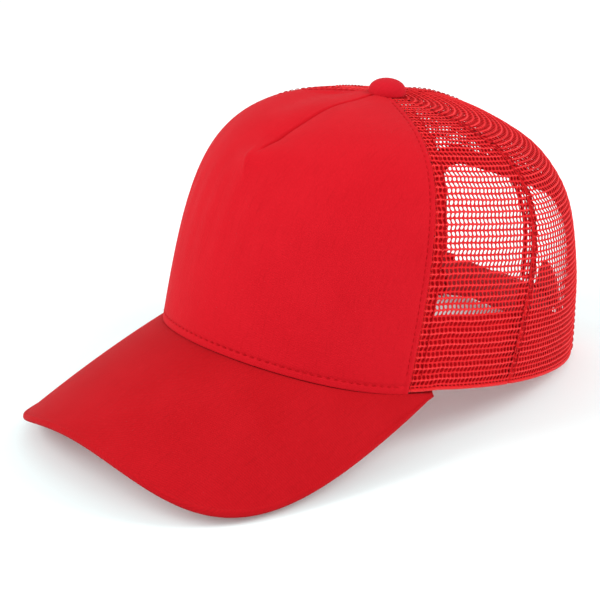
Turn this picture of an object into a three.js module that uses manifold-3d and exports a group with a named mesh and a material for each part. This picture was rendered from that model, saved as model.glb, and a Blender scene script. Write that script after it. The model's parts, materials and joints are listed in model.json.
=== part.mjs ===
// A five-panel trucker cap: a plain front panel, four mesh panels, a curved visor and a
// press-stud strap across the rear opening. Millimetres, +Z up, the visor points to -Y.
import * as THREE from 'three';
import { mergeVertices } from 'three/addons/utils/BufferGeometryUtils.js';
import Module from 'manifold-3d';

const wasm = await Module();
wasm.setup();

// ---- driving dimensions ----
const RIM_HALF_WIDTH = 78.6;
const RIM_FRONT = 104.9;
const RIM_BACK = 102.3;
const CROWN_HEIGHT = 111.2;
const CROWN_TOP_Y = -14.7;
// One set for each side of the crown: how far the foot of the curve leans out, how steeply it
// rises, how far it reaches out again under the top, and how much it rises there.
const CROWN_CURVE = {
  front: { lean: -0.08, rise: 0.74, reach: 0.81, lift: -0.06 },
  side: { lean: 0.11, rise: 0.82, reach: 0.94, lift: -0.06 },
  back: { lean: -0.2, rise: 0.95, reach: 0.3, lift: 0.06 },
};
const REST_TILT = 12.8;
const REST_SHIFT = { y: 37.7, z: 18.4 };

const FRONT_SEAM_ANGLE = 64.6;
const FRONT_SEAM_BOW = 0.6;
const SIDE_SEAM_ANGLE = 94;
const PANEL_FOOT = 0.0035;
const PANEL_TOP = 0.97;

const SEAM_GAP = 0.3;
const PANEL_DEPTH = [0, 1];
const BACKING_DEPTH = [1.7, 2.9];
const TAPE_DEPTH = [1.6, 2.2];
const BINDING_DEPTH = [-0.4, 1.2];
const SWEATBAND_DEPTH = [3.5, 4.9];
const STRAP_ROOT_DEPTH = [1.8, 2.9];

const TAPE_WIDTH = 8.5;
const SWEATBAND_HEIGHT = 33;
const SWEATBAND_END_DROP = 20;
const SWEATBAND_DROP_ANGLES = [95, 152];

const OPENING_HALF_WIDTH = 41;
const OPENING_HEIGHT = 70;
const OPENING_CORNER = 15;
const BINDING_WIDTH = 8;

const VISOR_END_ANGLE = 72;
const VISOR_REACH = 58;
const VISOR_SIDE_HANDLE = { length: 101.8, angle: 82.1 };
const VISOR_FRONT_HANDLE = 62;
const VISOR_DROOP = 27.4;
const VISOR_RIM_RISE = 4.4;
const VISOR_NOSE_DIP = 7.4;
const VISOR_NOSE_SPAN = 71.3;
const VISOR_ARCH_SHARPNESS = 0.19;
const VISOR_ARCH_GROWTH = 0.3;
const VISOR_THICKNESS = 3.4;
const VISOR_TUCK = 2.9;
const VISOR_TUCK_REACH = 4;
const COVER_THICKNESS = 0.7;
const COVER_GAP = 0.25;
const BOARD_INSET = 0.03;
const LIP_WIDTH = 0.015;
const VISOR_END_TRIM = 0.97;

const BUTTON_RADIUS = 8.2;
const BUTTON_HEIGHT = 5.8;
const BUTTON_LIFT = 0.3;
const BUTTON_LEAN = 6;
const BUTTON_WALL = 0.6;
const BUTTON_SHANK_RADIUS = 1.6;
const BUTTON_DISC_RADIUS = 6.5;
const BUTTON_DISC_DROP = 4.2;

const STRAP_THICKNESS = 1.2;
const STRAP_HEIGHT = 18.5;
const STRAP_FOOT = 1.2;
const STRAP_LEAN = 13;
const STRAP_BULGE = 5.6;
const STRAP_ROOT_Y = 85.4;
const STRAP_ROOT_X = 38.4;
const STRAP_BEND = 12;
const STRAP_ROOT_CLEARANCE = 4;
const STRAP_ROOT_LENGTH = 13;
const FLARE_HEIGHT = 34.5;
const FLARE_START = 13.5;
const FLARE_PEAK = 20.5;
const FLARE_ROOT_HEIGHT = 16;
const HOLE_STRAP_END = -17;
const STUD_STRAP_END = 25;
const STUD_PITCH = 8;
const STUD_FIRST = -28;
const STUD_COUNT = 7;
const HOLE_FIRST = -12;
const HOLE_COUNT = 6;
const STUD_RADIUS = 1.9;
const STUD_HEIGHT = 2.1;
const HOLE_RADIUS = 2.7;

// ---- colours ----
const red = (hex, roughness) => new THREE.MeshStandardMaterial({ color: hex, roughness });
const twill = red(0xc81b26, 0.9);
const meshCloth = red(0xc4232b, 0.8);
const tapeCloth = red(0xb01a22, 0.9);
const foam = red(0xb8232b, 0.95);
const board = new THREE.MeshStandardMaterial({ color: 0xe8e6e0, roughness: 0.5 });
const strapPlastic = red(0xc01c26, 0.4);
const steel = new THREE.MeshStandardMaterial({ color: 0xb8b8b6, roughness: 0.35, metalness: 0.9 });

// ---- the crown as a surface: angle 0 is the front, 90 the wearer's left ----
const radians = THREE.MathUtils.degToRad;

function visorPlan(t) {
  // Half of the visor's outer edge, from its rear end (t = 0) to its nose (t = 1).
  const end = radians(VISOR_END_ANGLE);
  const start = new THREE.Vector2(RIM_HALF_WIDTH * Math.sin(end), -RIM_FRONT * Math.cos(end));
  const nose = new THREE.Vector2(0, -RIM_FRONT - VISOR_REACH);
  const turn = radians(VISOR_SIDE_HANDLE.angle);
  const side = new THREE.Vector2(Math.cos(turn), -Math.sin(turn)).multiplyScalar(VISOR_SIDE_HANDLE.length);
  const edge = new THREE.CubicBezierCurve(
    start, start.clone().add(side), nose.clone().setX(VISOR_FRONT_HANDLE), nose);
  return edge.getPoint(t);
}

function visorHeight(x, y) {
  // The visor slopes down forwards and arches across, and the arch deepens towards the nose.
  const end = visorPlan(0);
  const slope = (forward) => VISOR_RIM_RISE - forward * Math.tan(radians(VISOR_DROOP))
    - VISOR_NOSE_DIP * (forward / VISOR_NOSE_SPAN) ** 2;
  const across = (x / end.x) ** 2;
  const arch = (1 - VISOR_ARCH_SHARPNESS) * across + VISOR_ARCH_SHARPNESS * across ** 2;
  const along = (end.y - y) / (RIM_FRONT + VISOR_REACH + end.y);
  return slope(-y - RIM_FRONT) - slope(-end.y - RIM_FRONT) * arch * (1 + VISOR_ARCH_GROWTH * along);
}

function rimHeight(angle) {
  if (Math.abs(angle) >= radians(VISOR_END_ANGLE)) return 0;
  return visorHeight(RIM_HALF_WIDTH * Math.sin(angle), -RIM_FRONT * Math.cos(angle));
}

function curveAt(angle, key) {
  const along = Math.cos(angle) ** 2;
  const end = Math.cos(angle) > 0 ? CROWN_CURVE.front : CROWN_CURVE.back;
  return end[key] * along + CROWN_CURVE.side[key] * (1 - along);
}

function spread(angle, t) {
  return (1 - t) ** 3 + 3 * t * (1 - t) ** 2 * (1 + curveAt(angle, 'lean'))
    + 3 * t * t * (1 - t) * curveAt(angle, 'reach');
}

function crownPoint(angle, t) {
  const out = spread(angle, t);
  const climb = 3 * t * (1 - t) ** 2 * curveAt(angle, 'rise')
    + 3 * t * t * (1 - t) * (1 + curveAt(angle, 'lift')) + t ** 3;
  const depth = Math.cos(angle) > 0 ? RIM_FRONT : RIM_BACK;
  const rimY = -depth * Math.cos(angle);
  const foot = rimHeight(angle);
  return new THREE.Vector3(
    RIM_HALF_WIDTH * Math.sin(angle) * out,
    CROWN_TOP_Y + (rimY - CROWN_TOP_Y) * out,
    foot + (CROWN_HEIGHT - foot) * climb);
}

function crownInside(angle, t, depth) {
  // The point this deep below the crown's outer surface.
  const step = 0.002;
  const around = crownPoint(angle + step, t).sub(crownPoint(angle - step, t));
  const up = crownPoint(angle, Math.min(t + step, 1)).sub(crownPoint(angle, Math.max(t - step, 0)));
  const normal = around.cross(up).normalize();
  return crownPoint(angle, t).addScaledVector(normal, -depth);
}

function levelAt(angle, height) {
  // The curve parameter at which the crown is this high above its rim.
  let low = 0;
  let high = 1;
  for (let i = 0; i < 24; i += 1) {
    const middle = (low + high) / 2;
    if (crownPoint(angle, middle).z - rimHeight(angle) < height) low = middle;
    else high = middle;
  }
  return low;
}

const frontSeam = (t) => radians(FRONT_SEAM_ANGLE + FRONT_SEAM_BOW * Math.sin(Math.PI * t));
const sideSeam = () => radians(SIDE_SEAM_ANGLE);
const backSeam = () => Math.PI;
const asAngle = (millimetres, angle, t) => millimetres / (RIM_HALF_WIDTH * spread(angle, t));

// ---- closed solids ----
function sheetSolid(pointAt, columns, rows) {
  // A closed sheet between layer 0, whose outside faces columns x rows, and layer 1.
  const positions = [];
  const index = [];
  const id = (layer, i, j) => (layer * (columns + 1) + i) * (rows + 1) + j;
  for (let layer = 0; layer < 2; layer += 1) {
    for (let i = 0; i <= columns; i += 1) {
      for (let j = 0; j <= rows; j += 1) {
        positions.push(...pointAt(i / columns, j / rows, layer).toArray());
      }
    }
  }
  const quad = (a, b, c, d) => index.push(a, b, c, a, c, d);
  for (let i = 0; i < columns; i += 1) {
    for (let j = 0; j < rows; j += 1) {
      quad(id(0, i, j), id(0, i + 1, j), id(0, i + 1, j + 1), id(0, i, j + 1));
      quad(id(1, i, j), id(1, i, j + 1), id(1, i + 1, j + 1), id(1, i + 1, j));
    }
    quad(id(0, i, 0), id(1, i, 0), id(1, i + 1, 0), id(0, i + 1, 0));
    quad(id(0, i, rows), id(0, i + 1, rows), id(1, i + 1, rows), id(1, i, rows));
  }
  for (let j = 0; j < rows; j += 1) {
    quad(id(0, 0, j), id(0, 0, j + 1), id(1, 0, j + 1), id(1, 0, j));
    quad(id(0, columns, j), id(1, columns, j), id(1, columns, j + 1), id(0, columns, j + 1));
  }
  const geometry = new THREE.BufferGeometry();
  geometry.setAttribute('position', new THREE.Float32BufferAttribute(positions, 3));
  geometry.setIndex(index);
  return geometry;
}

function toSolid(geometry) {
  const bare = geometry.clone();
  bare.deleteAttribute('normal');
  bare.deleteAttribute('uv');
  const merged = mergeVertices(bare, 1e-4);
  return new wasm.Manifold(new wasm.Mesh({
    numProp: 3,
    vertProperties: new Float32Array(merged.attributes.position.array),
    triVerts: new Uint32Array(merged.index.array),
  }));
}

function toGeometry(solid) {
  const mesh = solid.getMesh();
  const geometry = new THREE.BufferGeometry();
  geometry.setAttribute('position', new THREE.Float32BufferAttribute(mesh.vertProperties, 3));
  geometry.setIndex(Array.from(mesh.triVerts));
  return geometry;
}

function cutBy(geometry, ...cutters) {
  let solid = toSolid(geometry);
  for (const cutter of cutters) solid = solid.subtract(toSolid(cutter));
  return toGeometry(solid);
}

function joined(geometry, ...others) {
  let solid = toSolid(geometry);
  for (const other of others) solid = solid.add(toSolid(other));
  return toGeometry(solid);
}

function openingCutter(grow) {
  // The rear opening as a block through the back of the crown, with rounded upper corners.
  const half = OPENING_HALF_WIDTH + grow;
  const top = OPENING_HEIGHT + grow;
  const corner = OPENING_CORNER + grow;
  const outline = new THREE.Shape();
  outline.moveTo(-half, -10);
  outline.lineTo(half, -10);
  outline.lineTo(half, top - corner);
  outline.absarc(half - corner, top - corner, corner, 0, Math.PI / 2);
  outline.absarc(-half + corner, top - corner, corner, Math.PI / 2, Math.PI);
  const block = new THREE.ExtrudeGeometry(outline, { depth: 110, bevelEnabled: false, curveSegments: 5 });
  block.rotateX(Math.PI / 2);
  block.translate(0, 140, 0);
  return block;
}

// ---- assembly ----
const cap = new THREE.Group();

function addPiece(name, geometry, material, parent = cap) {
  const mesh = new THREE.Mesh(geometry, material);
  mesh.name = name;
  parent.add(mesh);
}

function panelSolid(startSeam, endSeam, foot, top, depths, columns, rows, inset = SEAM_GAP / 2) {
  return sheetSolid((u, v, layer) => {
    const t = foot + (top - foot) * v;
    const from = startSeam(t) + asAngle(inset, startSeam(t), t);
    const to = endSeam(t) - asAngle(inset, endSeam(t), t);
    return crownInside(from + (to - from) * u, t, depths[layer]);
  }, columns, rows);
}

function addCrownPanels() {
  const mirrored = (seam) => (t) => -seam(t);
  const panels = {
    front_panel: [mirrored(frontSeam), frontSeam, 22],
    left_side_mesh: [frontSeam, sideSeam, 5],
    right_side_mesh: [mirrored(sideSeam), mirrored(frontSeam), 5],
    left_back_mesh: [sideSeam, backSeam, 14],
    right_back_mesh: [mirrored(backSeam), mirrored(sideSeam), 14],
  };
  for (const [name, [from, to, columns]] of Object.entries(panels)) {
    const whole = panelSolid(from, to, PANEL_FOOT, PANEL_TOP, PANEL_DEPTH, columns, 11);
    const isBack = name.includes('back');
    const cloth = name === 'front_panel' ? twill : meshCloth;
    addPiece(name, isBack ? cutBy(whole, openingCutter(BINDING_WIDTH + SEAM_GAP)) : whole, cloth);
  }
  const backing = panelSolid(mirrored(frontSeam), frontSeam, 0.02, 0.93, BACKING_DEPTH, 16, 8,
    TAPE_WIDTH / 2 + SEAM_GAP);
  addPiece('front_backing', backing, foam);
}

function addSeamTapes() {
  const seams = {
    left_front_tape: frontSeam,
    right_front_tape: (t) => -frontSeam(t),
    left_side_tape: sideSeam,
    right_side_tape: (t) => -sideSeam(t),
    back_centre_tape: backSeam,
  };
  for (const [name, seam] of Object.entries(seams)) {
    const tape = sheetSolid((u, v, layer) => {
      const t = 0.01 + 0.86 * v;
      const width = asAngle(TAPE_WIDTH * (u - 0.5), seam(t), t);
      return crownInside(seam(t) + width, t, TAPE_DEPTH[layer]);
    }, 2, 12);
    const stopsAtOpening = name === 'back_centre_tape';
    addPiece(name, stopsAtOpening ? cutBy(tape, openingCutter(BINDING_WIDTH + SEAM_GAP)) : tape, tapeCloth);
  }
}

function addOpeningBinding() {
  const reach = OPENING_HEIGHT + BINDING_WIDTH + 12;
  const span = radians(52);
  const wall = sheetSolid((u, v, layer) => {
    const angle = Math.PI - span + 2 * span * u;
    const t = PANEL_FOOT + (levelAt(angle, reach) - PANEL_FOOT) * v;
    return crownInside(angle, t, BINDING_DEPTH[layer]);
  }, 18, 8);
  const ring = toSolid(wall)
    .intersect(toSolid(openingCutter(BINDING_WIDTH)))
    .subtract(toSolid(openingCutter(0)));
  addPiece('opening_binding', toGeometry(ring), tapeCloth);
}

function bandHeight(angle) {
  // Full height round the front and the sides, lower beside the rear opening.
  const [from, to] = SWEATBAND_DROP_ANGLES.map(radians);
  return SWEATBAND_HEIGHT
    - SWEATBAND_END_DROP * THREE.MathUtils.smoothstep(Math.abs(angle), from, to);
}

function addSweatband() {
  const band = sheetSolid((u, v, layer) => {
    const angle = radians(-154 + 308 * u);
    const top = levelAt(angle, bandHeight(angle));
    return crownInside(angle, PANEL_FOOT + (top - PANEL_FOOT) * v, SWEATBAND_DEPTH[layer]);
  }, 44, 2);
  addPiece('sweatband', cutBy(band, openingCutter(SEAM_GAP)), foam);
}

// ---- visor: u runs along it from its right end to its left end, w from the rim outwards ----
function visorPoint(u, w, drop) {
  const s = (2 * u - 1) * VISOR_END_TRIM;
  const angle = radians(VISOR_END_ANGLE) * s;
  const inner = crownInside(angle, 0, VISOR_TUCK);
  const half = visorPlan(1 - Math.abs(s));
  const x = inner.x + (Math.sign(s) * half.x - inner.x) * w;
  const y = inner.y + (half.y - inner.y) * w;
  // The tucked-in edge stays level with the rim.
  const out = Math.hypot(x - inner.x, y - inner.y);
  const tucked = Math.max(0, 1 - out / VISOR_TUCK_REACH);
  const climb = (visorHeight(inner.x, inner.y) - rimHeight(angle)) * tucked;
  return new THREE.Vector3(x, y, visorHeight(x, y) - climb - drop);
}

function visorLayer(fromDrop, toDrop, start, end, rows) {
  return sheetSolid((u, v, layer) => {
    const w = start + (end - start) * v;
    return visorPoint(u, w, layer === 0 ? toDrop : fromDrop);
  }, 26, rows);
}

function addVisor() {
  const bottom = VISOR_THICKNESS;
  const boardTop = COVER_THICKNESS + COVER_GAP;
  const boardBottom = bottom - COVER_THICKNESS - COVER_GAP;
  addPiece('visor_board', visorLayer(boardTop, boardBottom, 0, 1 - BOARD_INSET, 5), board);
  const top = visorLayer(0, COVER_THICKNESS, 0, 1, 5);
  const lip = visorLayer(COVER_THICKNESS / 2, boardBottom, 1 - LIP_WIDTH, 1, 1);
  addPiece('visor_top_cover', joined(top, lip), twill);
  addPiece('visor_under_cover', visorLayer(bottom - COVER_THICKNESS, bottom, 0, 1, 5), twill);
}

// ---- button on top, square to the crown there ----
const buttonSeat = new THREE.Group();
buttonSeat.position.set(0, CROWN_TOP_Y, CROWN_HEIGHT + BUTTON_LIFT);
buttonSeat.rotation.x = radians(BUTTON_LEAN);
cap.add(buttonSeat);

function turned(profile, name, material) {
  const points = profile.map(([radius, height]) => new THREE.Vector2(radius, height));
  const geometry = new THREE.LatheGeometry(points, 20);
  geometry.rotateX(Math.PI / 2);
  addPiece(name, geometry, material, buttonSeat);
}

function domeProfile(radius, height) {
  // From the dome's foot up to its top, a little flatter than a ball.
  const steps = 6;
  return Array.from({ length: steps + 1 }, (_, i) => {
    const angle = (Math.PI / 2) * (i / steps);
    return [i === steps ? 0 : radius * Math.cos(angle), height * Math.sin(angle) ** 0.85];
  });
}

function domeShell(radius, height, wall) {
  return [...domeProfile(radius - wall, height - wall).reverse(), ...domeProfile(radius, height)];
}

function addButton() {
  const shellRadius = BUTTON_RADIUS - BUTTON_WALL - SEAM_GAP;
  const shellHeight = BUTTON_HEIGHT - BUTTON_WALL - SEAM_GAP;
  const discTop = -BUTTON_DISC_DROP;
  turned(domeShell(BUTTON_RADIUS, BUTTON_HEIGHT, BUTTON_WALL), 'button_cover', twill);
  turned(domeShell(shellRadius, shellHeight, BUTTON_WALL), 'button_shell', steel);
  turned([
    [0, discTop - 0.9], [BUTTON_DISC_RADIUS, discTop - 0.6], [BUTTON_DISC_RADIUS, discTop],
    [BUTTON_SHANK_RADIUS, discTop], [BUTTON_SHANK_RADIUS, 1.6], [0, 2.2],
  ], 'button_rivet', steel);
}

// ---- closing strap: two flat plastic tongues in a plane that leans in with the crown ----
const strapPlane = new THREE.Group();
strapPlane.position.y = STRAP_ROOT_Y;
strapPlane.rotation.x = radians(STRAP_LEAN);
cap.add(strapPlane);

function strapTop(x, end) {
  // The tongue's upper edge at x: level, but with a tall hump near the left one's root.
  const level = STRAP_FOOT + STRAP_HEIGHT;
  if (end > 0) return level;
  const rise = THREE.MathUtils.smoothstep(x, FLARE_START, FLARE_PEAK);
  const fall = THREE.MathUtils.smoothstep(x, FLARE_PEAK, STRAP_ROOT_X);
  return level + (FLARE_HEIGHT - level) * rise - (FLARE_HEIGHT - FLARE_ROOT_HEIGHT) * fall;
}

function tongue(rootX, endX, outerOffset) {
  // A strip from its root to its free end, with rounded corners there.
  const corner = STRAP_HEIGHT / 2 - 2;
  return sheetSolid((u, v, layer) => {
    const along = rootX > endX ? u : 1 - u;
    const x = rootX + (endX - rootX) * (Math.sin((Math.PI / 2) * along) * 0.35 + along * 0.65);
    const y = STRAP_BULGE * THREE.MathUtils.smoothstep(STRAP_ROOT_X - Math.abs(x), 0, STRAP_BEND);
    const toEnd = Math.min(Math.abs(endX - x), corner);
    const cut = corner - Math.sqrt(corner ** 2 - (corner - toEnd) ** 2);
    const low = STRAP_FOOT + cut;
    const high = strapTop(x, endX) - cut;
    return new THREE.Vector3(x, y + outerOffset - layer * STRAP_THICKNESS, low + (high - low) * v);
  }, 26, 2);
}

function crossPeg(x, radius, from, to) {
  const peg = new THREE.CylinderGeometry(radius, radius, to - from, 12);
  peg.translate(x, (from + to) / 2, STRAP_FOOT + STRAP_HEIGHT / 2);
  return peg;
}

function addStraps() {
  const row = (first, count) => Array.from({ length: count }, (_, i) => first + i * STUD_PITCH);
  const outside = STRAP_THICKNESS + SEAM_GAP;
  const holes = row(HOLE_FIRST, HOLE_COUNT).map((x) => crossPeg(x, HOLE_RADIUS, -20, 20));
  const studs = row(STUD_FIRST, STUD_COUNT).map(
    (x) => crossPeg(x, STUD_RADIUS, STRAP_BULGE - STRAP_THICKNESS / 2, STRAP_BULGE + STUD_HEIGHT));
  const holeTongue = tongue(STRAP_ROOT_X, HOLE_STRAP_END, outside);
  const studTongue = tongue(-STRAP_ROOT_X, STUD_STRAP_END, 0);
  addPiece('hole_strap', cutBy(holeTongue, ...holes), strapPlastic, strapPlane);
  addPiece('stud_strap', joined(studTongue, ...studs), strapPlastic, strapPlane);
}

function addStrapRoots() {
  // The sewn-in ends, between the mesh and the sweatband.
  const openingEdge = Math.asin((STRAP_ROOT_X + STRAP_ROOT_CLEARANCE) / RIM_HALF_WIDTH);
  const span = STRAP_ROOT_LENGTH / RIM_BACK;
  const tops = [['left', 1, FLARE_ROOT_HEIGHT], ['right', -1, STRAP_HEIGHT + 4]];
  for (const [name, side, height] of tops) {
    const root = sheetSolid((u, v, layer) => {
      const turn = side > 0 ? 1 - u : u;
      const angle = side * (Math.PI - openingEdge - span * turn);
      const foot = levelAt(angle, STRAP_FOOT);
      return crownInside(angle, foot + (levelAt(angle, height) - foot) * v, STRAP_ROOT_DEPTH[layer]);
    }, 4, 2);
    addPiece(`${name}_strap_root`, root, strapPlastic);
  }
}

addCrownPanels();
addSeamTapes();
addOpeningBinding();
addSweatband();
addVisor();
addButton();
addStraps();
addStrapRoots();

cap.rotation.x = -radians(REST_TILT);
cap.position.set(0, REST_SHIFT.y, REST_SHIFT.z);
const model = new THREE.Group();
model.add(cap);
export default model;
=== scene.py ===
"""Looks of the five-panel trucker cap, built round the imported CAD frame.

Shapes are worked out in the cap's own millimetres (+Z up from the rim, the visor towards -Y,
angle 0 at the front and 90 degrees at the wearer's left) and are then put in the row frame.
"""

import json
import math

import bmesh
import bpy
import numpy as np
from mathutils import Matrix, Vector
from mathutils.geometry import delaunay_2d_cdt

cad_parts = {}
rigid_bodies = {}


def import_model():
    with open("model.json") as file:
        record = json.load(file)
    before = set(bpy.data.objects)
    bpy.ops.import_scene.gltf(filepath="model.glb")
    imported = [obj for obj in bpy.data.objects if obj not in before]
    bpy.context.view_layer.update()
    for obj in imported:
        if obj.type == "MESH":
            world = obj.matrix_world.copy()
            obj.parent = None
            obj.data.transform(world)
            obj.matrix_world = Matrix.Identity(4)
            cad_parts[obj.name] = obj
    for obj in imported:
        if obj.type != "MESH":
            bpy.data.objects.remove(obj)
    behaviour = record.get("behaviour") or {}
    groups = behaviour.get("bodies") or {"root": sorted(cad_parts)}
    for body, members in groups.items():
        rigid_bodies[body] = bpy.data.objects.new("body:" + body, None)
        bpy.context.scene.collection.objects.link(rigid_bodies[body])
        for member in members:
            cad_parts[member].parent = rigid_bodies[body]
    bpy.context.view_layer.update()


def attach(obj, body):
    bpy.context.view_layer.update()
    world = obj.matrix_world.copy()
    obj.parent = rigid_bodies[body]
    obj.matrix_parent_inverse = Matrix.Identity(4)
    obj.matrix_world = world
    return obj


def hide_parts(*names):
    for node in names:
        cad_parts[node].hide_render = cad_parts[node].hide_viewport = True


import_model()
RANDOM = np.random.default_rng(7)

# ---- the cap's driving dimensions, as in the CAD source ----
RIM_HALF_WIDTH, RIM_FRONT, RIM_BACK = 78.6, 104.9, 102.3
CROWN_HEIGHT, CROWN_TOP_Y = 111.2, -14.7
CROWN_CURVE = {
    "front": {"lean": -0.08, "rise": 0.74, "reach": 0.81, "lift": -0.06},
    "side": {"lean": 0.11, "rise": 0.82, "reach": 0.94, "lift": -0.06},
    "back": {"lean": -0.2, "rise": 0.95, "reach": 0.3, "lift": 0.06},
}
REST_TILT = math.radians(12.8)
REST_SHIFT = np.array([0.0, 37.7, 18.4])
FRONT_SEAM_ANGLE, FRONT_SEAM_BOW, SIDE_SEAM_ANGLE = 64.6, 0.6, 94
PANEL_FOOT, PANEL_TOP = 0.0035, 0.97
TAPE_WIDTH, SEAM_FOLD = 8.5, 6.4
SWEATBAND_HEIGHT, SWEATBAND_END_DROP = 33, 20
SWEATBAND_DROP_ANGLES = np.radians([95, 152])
OPENING_HALF_WIDTH, OPENING_HEIGHT, OPENING_CORNER, BINDING_WIDTH = 41, 70, 15, 8
VISOR_END = math.radians(72)
VISOR_REACH = 58
VISOR_SIDE_HANDLE = (101.8, math.radians(82.1))
VISOR_FRONT_HANDLE = 62
VISOR_DROOP = math.tan(math.radians(27.4))
VISOR_RIM_RISE, VISOR_NOSE_DIP, VISOR_NOSE_SPAN = 4.4, 7.4, 71.3
VISOR_ARCH_SHARPNESS, VISOR_ARCH_GROWTH = 0.19, 0.3
VISOR_THICKNESS, VISOR_TUCK, VISOR_TUCK_REACH = 3.4, 2.9, 4
VISOR_END_TRIM, VISOR_END_SHARE = 0.994, 0.3
EDGE_SQUARENESS = 0.8
BUTTON_RADIUS, BUTTON_HEIGHT, BUTTON_LIFT = 8.2, 5.8, 0.3
BUTTON_LEAN = math.radians(6)
STRAP_THICKNESS, STRAP_HEIGHT, STRAP_FOOT = 1.2, 18.5, 1.2
STRAP_LEAN = math.radians(13)
STRAP_BULGE, STRAP_ROOT_Y, STRAP_ROOT_X, STRAP_BEND = 5.6, 85.4, 38.4, 12
STRAP_ROOT_LENGTH = 13
FLARE_HEIGHT, FLARE_START, FLARE_PEAK, FLARE_ROOT_HEIGHT = 34.5, 13.5, 20.5, 16
HOLE_STRAP_END, STUD_STRAP_END = -17, 25
STUD_PITCH, STUD_FIRST, STUD_COUNT = 8, -28, 7
HOLE_FIRST, HOLE_COUNT = -12, 6
STUD_RADIUS, STUD_HEIGHT, HOLE_RADIUS = 1.9, 2.1, 2.7

# ---- the net and the stitching ----
NET_ROW, NET_COLUMN, NET_LEAN = 2.57, 2.0, 0.35
NET_HALF_ROW, NET_HALF_COLUMN = 0.42, 0.33
NET_HEM, NET_FOOT_HEM = 1.1, 1.7
HOLE_WAIST = 0.66
STITCH_PITCH, STITCH_LENGTH, STITCH_RADIUS = 3.1, 2.5, 0.23
SEAM_STITCH, FOOT_STITCH, FOOT_STITCH_PITCH = 2.1, 3.2, 3.3
FOLD_STITCH, TAPE_STITCH = 1.3, 3.1
SEAM_RUN, BAND_RUN = 150, 530

# ---- the studio: metres, watts and degrees ----
FLOOR_REACH, SKY_STRENGTH, LAMP_SIZE = 4.0, 0.76, 1.2
LAMP_AIM = Vector((0.0, 0.0, 0.06))
LAMPS = {
    "key": ((-0.85, -1.20, 1.10), 19.0),
    "fill": ((1.4, -0.5, 0.9), 7.0),
    "back": ((1.2, 1.2, 1.4), 19.0),
}
CAMERA_PLACE, CAMERA_LENS = (0.69470, -0.58620, 0.44286), 136.2
CAMERA_TURN = (66.416, 1.534, 49.402)


# ---- the crown as a surface ----
def smooth_step(x, low, high):
    s = np.clip((x - low) / (high - low), 0, 1)
    return s * s * (3 - 2 * s)


def bell(x, middle, width):
    return np.exp(-((x - middle) / width) ** 2)


def visor_plan(t):
    """Half of the visor's outer edge, from its rear end (t = 0) to its nose (t = 1)."""
    t = np.asarray(t, float)[..., None]
    start = np.array([RIM_HALF_WIDTH * math.sin(VISOR_END), -RIM_FRONT * math.cos(VISOR_END)])
    nose = np.array([0.0, -RIM_FRONT - VISOR_REACH])
    length, turn = VISOR_SIDE_HANDLE
    side = start + length * np.array([math.cos(turn), -math.sin(turn)])
    front = np.array([VISOR_FRONT_HANDLE, nose[1]])
    return ((1 - t) ** 3 * start + 3 * t * (1 - t) ** 2 * side
            + 3 * t * t * (1 - t) * front + t ** 3 * nose)


def visor_slope(forward):
    dip = VISOR_NOSE_DIP * (forward / VISOR_NOSE_SPAN) ** 2
    return VISOR_RIM_RISE - forward * VISOR_DROOP - dip


def visor_height(x, y):
    end_x, end_y = visor_plan(0.0)
    across = (x / end_x) ** 2
    arch = (1 - VISOR_ARCH_SHARPNESS) * across + VISOR_ARCH_SHARPNESS * across ** 2
    along = (end_y - y) / (RIM_FRONT + VISOR_REACH + end_y)
    return (visor_slope(-y - RIM_FRONT)
            - visor_slope(-end_y - RIM_FRONT) * arch * (1 + VISOR_ARCH_GROWTH * along))


def rim_height(angle):
    on_visor = np.abs(angle) < VISOR_END
    height = visor_height(RIM_HALF_WIDTH * np.sin(angle), -RIM_FRONT * np.cos(angle))
    return np.where(on_visor, height, 0.0)


def curve_at(angle, key):
    along = np.cos(angle) ** 2
    end = np.where(np.cos(angle) > 0, CROWN_CURVE["front"][key], CROWN_CURVE["back"][key])
    return end * along + CROWN_CURVE["side"][key] * (1 - along)


def spread(angle, t):
    return ((1 - t) ** 3 + 3 * t * (1 - t) ** 2 * (1 + curve_at(angle, "lean"))
            + 3 * t * t * (1 - t) * curve_at(angle, "reach"))


def climb(angle, t):
    return (3 * t * (1 - t) ** 2 * curve_at(angle, "rise")
            + 3 * t * t * (1 - t) * (1 + curve_at(angle, "lift")) + t ** 3)


def crown_point(angle, t):
    angle, t = np.broadcast_arrays(np.asarray(angle, float), np.asarray(t, float))
    out = spread(angle, t)
    depth = np.where(np.cos(angle) > 0, RIM_FRONT, RIM_BACK)
    rim_y = -depth * np.cos(angle)
    foot = rim_height(angle)
    return np.stack([
        RIM_HALF_WIDTH * np.sin(angle) * out,
        CROWN_TOP_Y + (rim_y - CROWN_TOP_Y) * out,
        foot + (CROWN_HEIGHT - foot) * climb(angle, t)], axis=-1)


def crown_normal(angle, t):
    step = 0.002
    around = crown_point(angle + step, t) - crown_point(angle - step, t)
    rise = (crown_point(angle, np.minimum(t + step, 1))
            - crown_point(angle, np.maximum(t - step, 0)))
    normal = np.cross(around, rise)
    return normal / np.linalg.norm(normal, axis=-1, keepdims=True)


def crown_inside(angle, t, depth):
    """Points this deep below the crown's outer surface."""
    angle, t, depth = np.broadcast_arrays(
        np.asarray(angle, float), np.asarray(t, float), np.asarray(depth, float))
    return crown_point(angle, t) - crown_normal(angle, t) * depth[..., None]


def level_at(angle, height):
    """The curve parameter at which the crown is this high above its rim."""
    angle, height = np.broadcast_arrays(np.asarray(angle, float), np.asarray(height, float))
    low, high = np.zeros(angle.shape), np.ones(angle.shape)
    foot = rim_height(angle)
    for _ in range(24):
        middle = (low + high) / 2
        under = (CROWN_HEIGHT - foot) * climb(angle, middle) < height
        low, high = np.where(under, middle, low), np.where(under, high, middle)
    return low


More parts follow.
